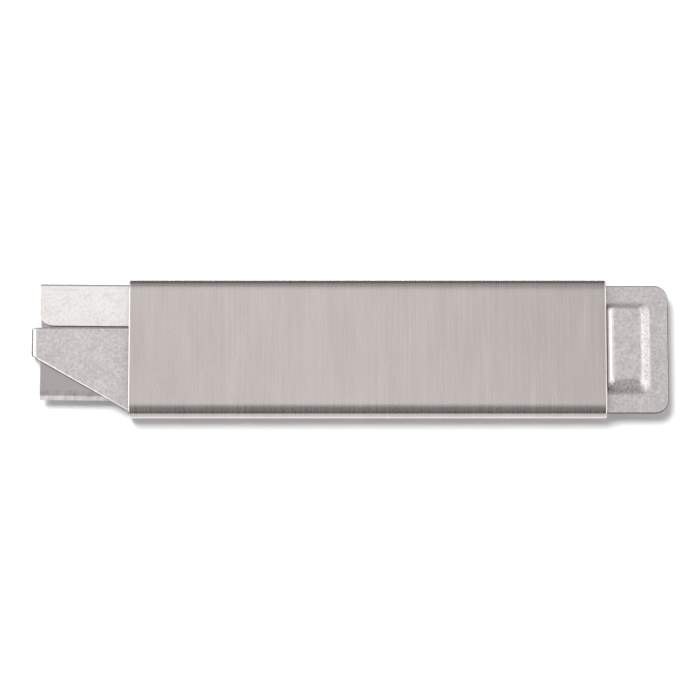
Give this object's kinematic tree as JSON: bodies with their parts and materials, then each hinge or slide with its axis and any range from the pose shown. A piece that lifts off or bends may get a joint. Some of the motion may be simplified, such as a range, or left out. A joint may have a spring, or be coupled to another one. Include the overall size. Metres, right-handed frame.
{
  "type": "utility knife",
  "caption": "All-steel tap-action box cutter: flat brushed sleeve with a sliding galvanised carrier that holds a single-edge razor blade behind a sloping nose guard.",
  "frame": {"origin": "centre of the sleeve's flat back face, which rests on the table", "axes": "+X along the knife to the tail, +Y across it to the blade's spine, +Z out of the front face"},
  "size_m": [0.1017, 0.0222, 0.0048],
  "materials": {
    "brushed_sleeve": "stainless sheet with a fine brush grain across the width",
    "galvanised_sheet": "thin zinc-coated sheet, fine speckle",
    "razor_steel": "smooth hardened strip with a ground edge",
    "spine_aluminium": "pale matt folded strip, fine cloth-like grain",
    "spring_steel": "tempered, dark satin",
    "rivet_steel": "plain satin"
  },
  "bodies": {
    "sleeve": {"outer_sleeve": "brushed_sleeve"},
    "slide": {"blade_slide": "galvanised_sheet", "razor_blade": "razor_steel", "blade_spine": "spine_aluminium", "leaf_spring": "spring_steel", "spring_rivets": "rivet_steel"}
  },
  "joints": [
    {"name": "slide_travel", "type": "slide", "parent": "sleeve", "child": "slide", "axis": [1, 0, 0], "range_m": [0, 0.0156]}
  ]
}
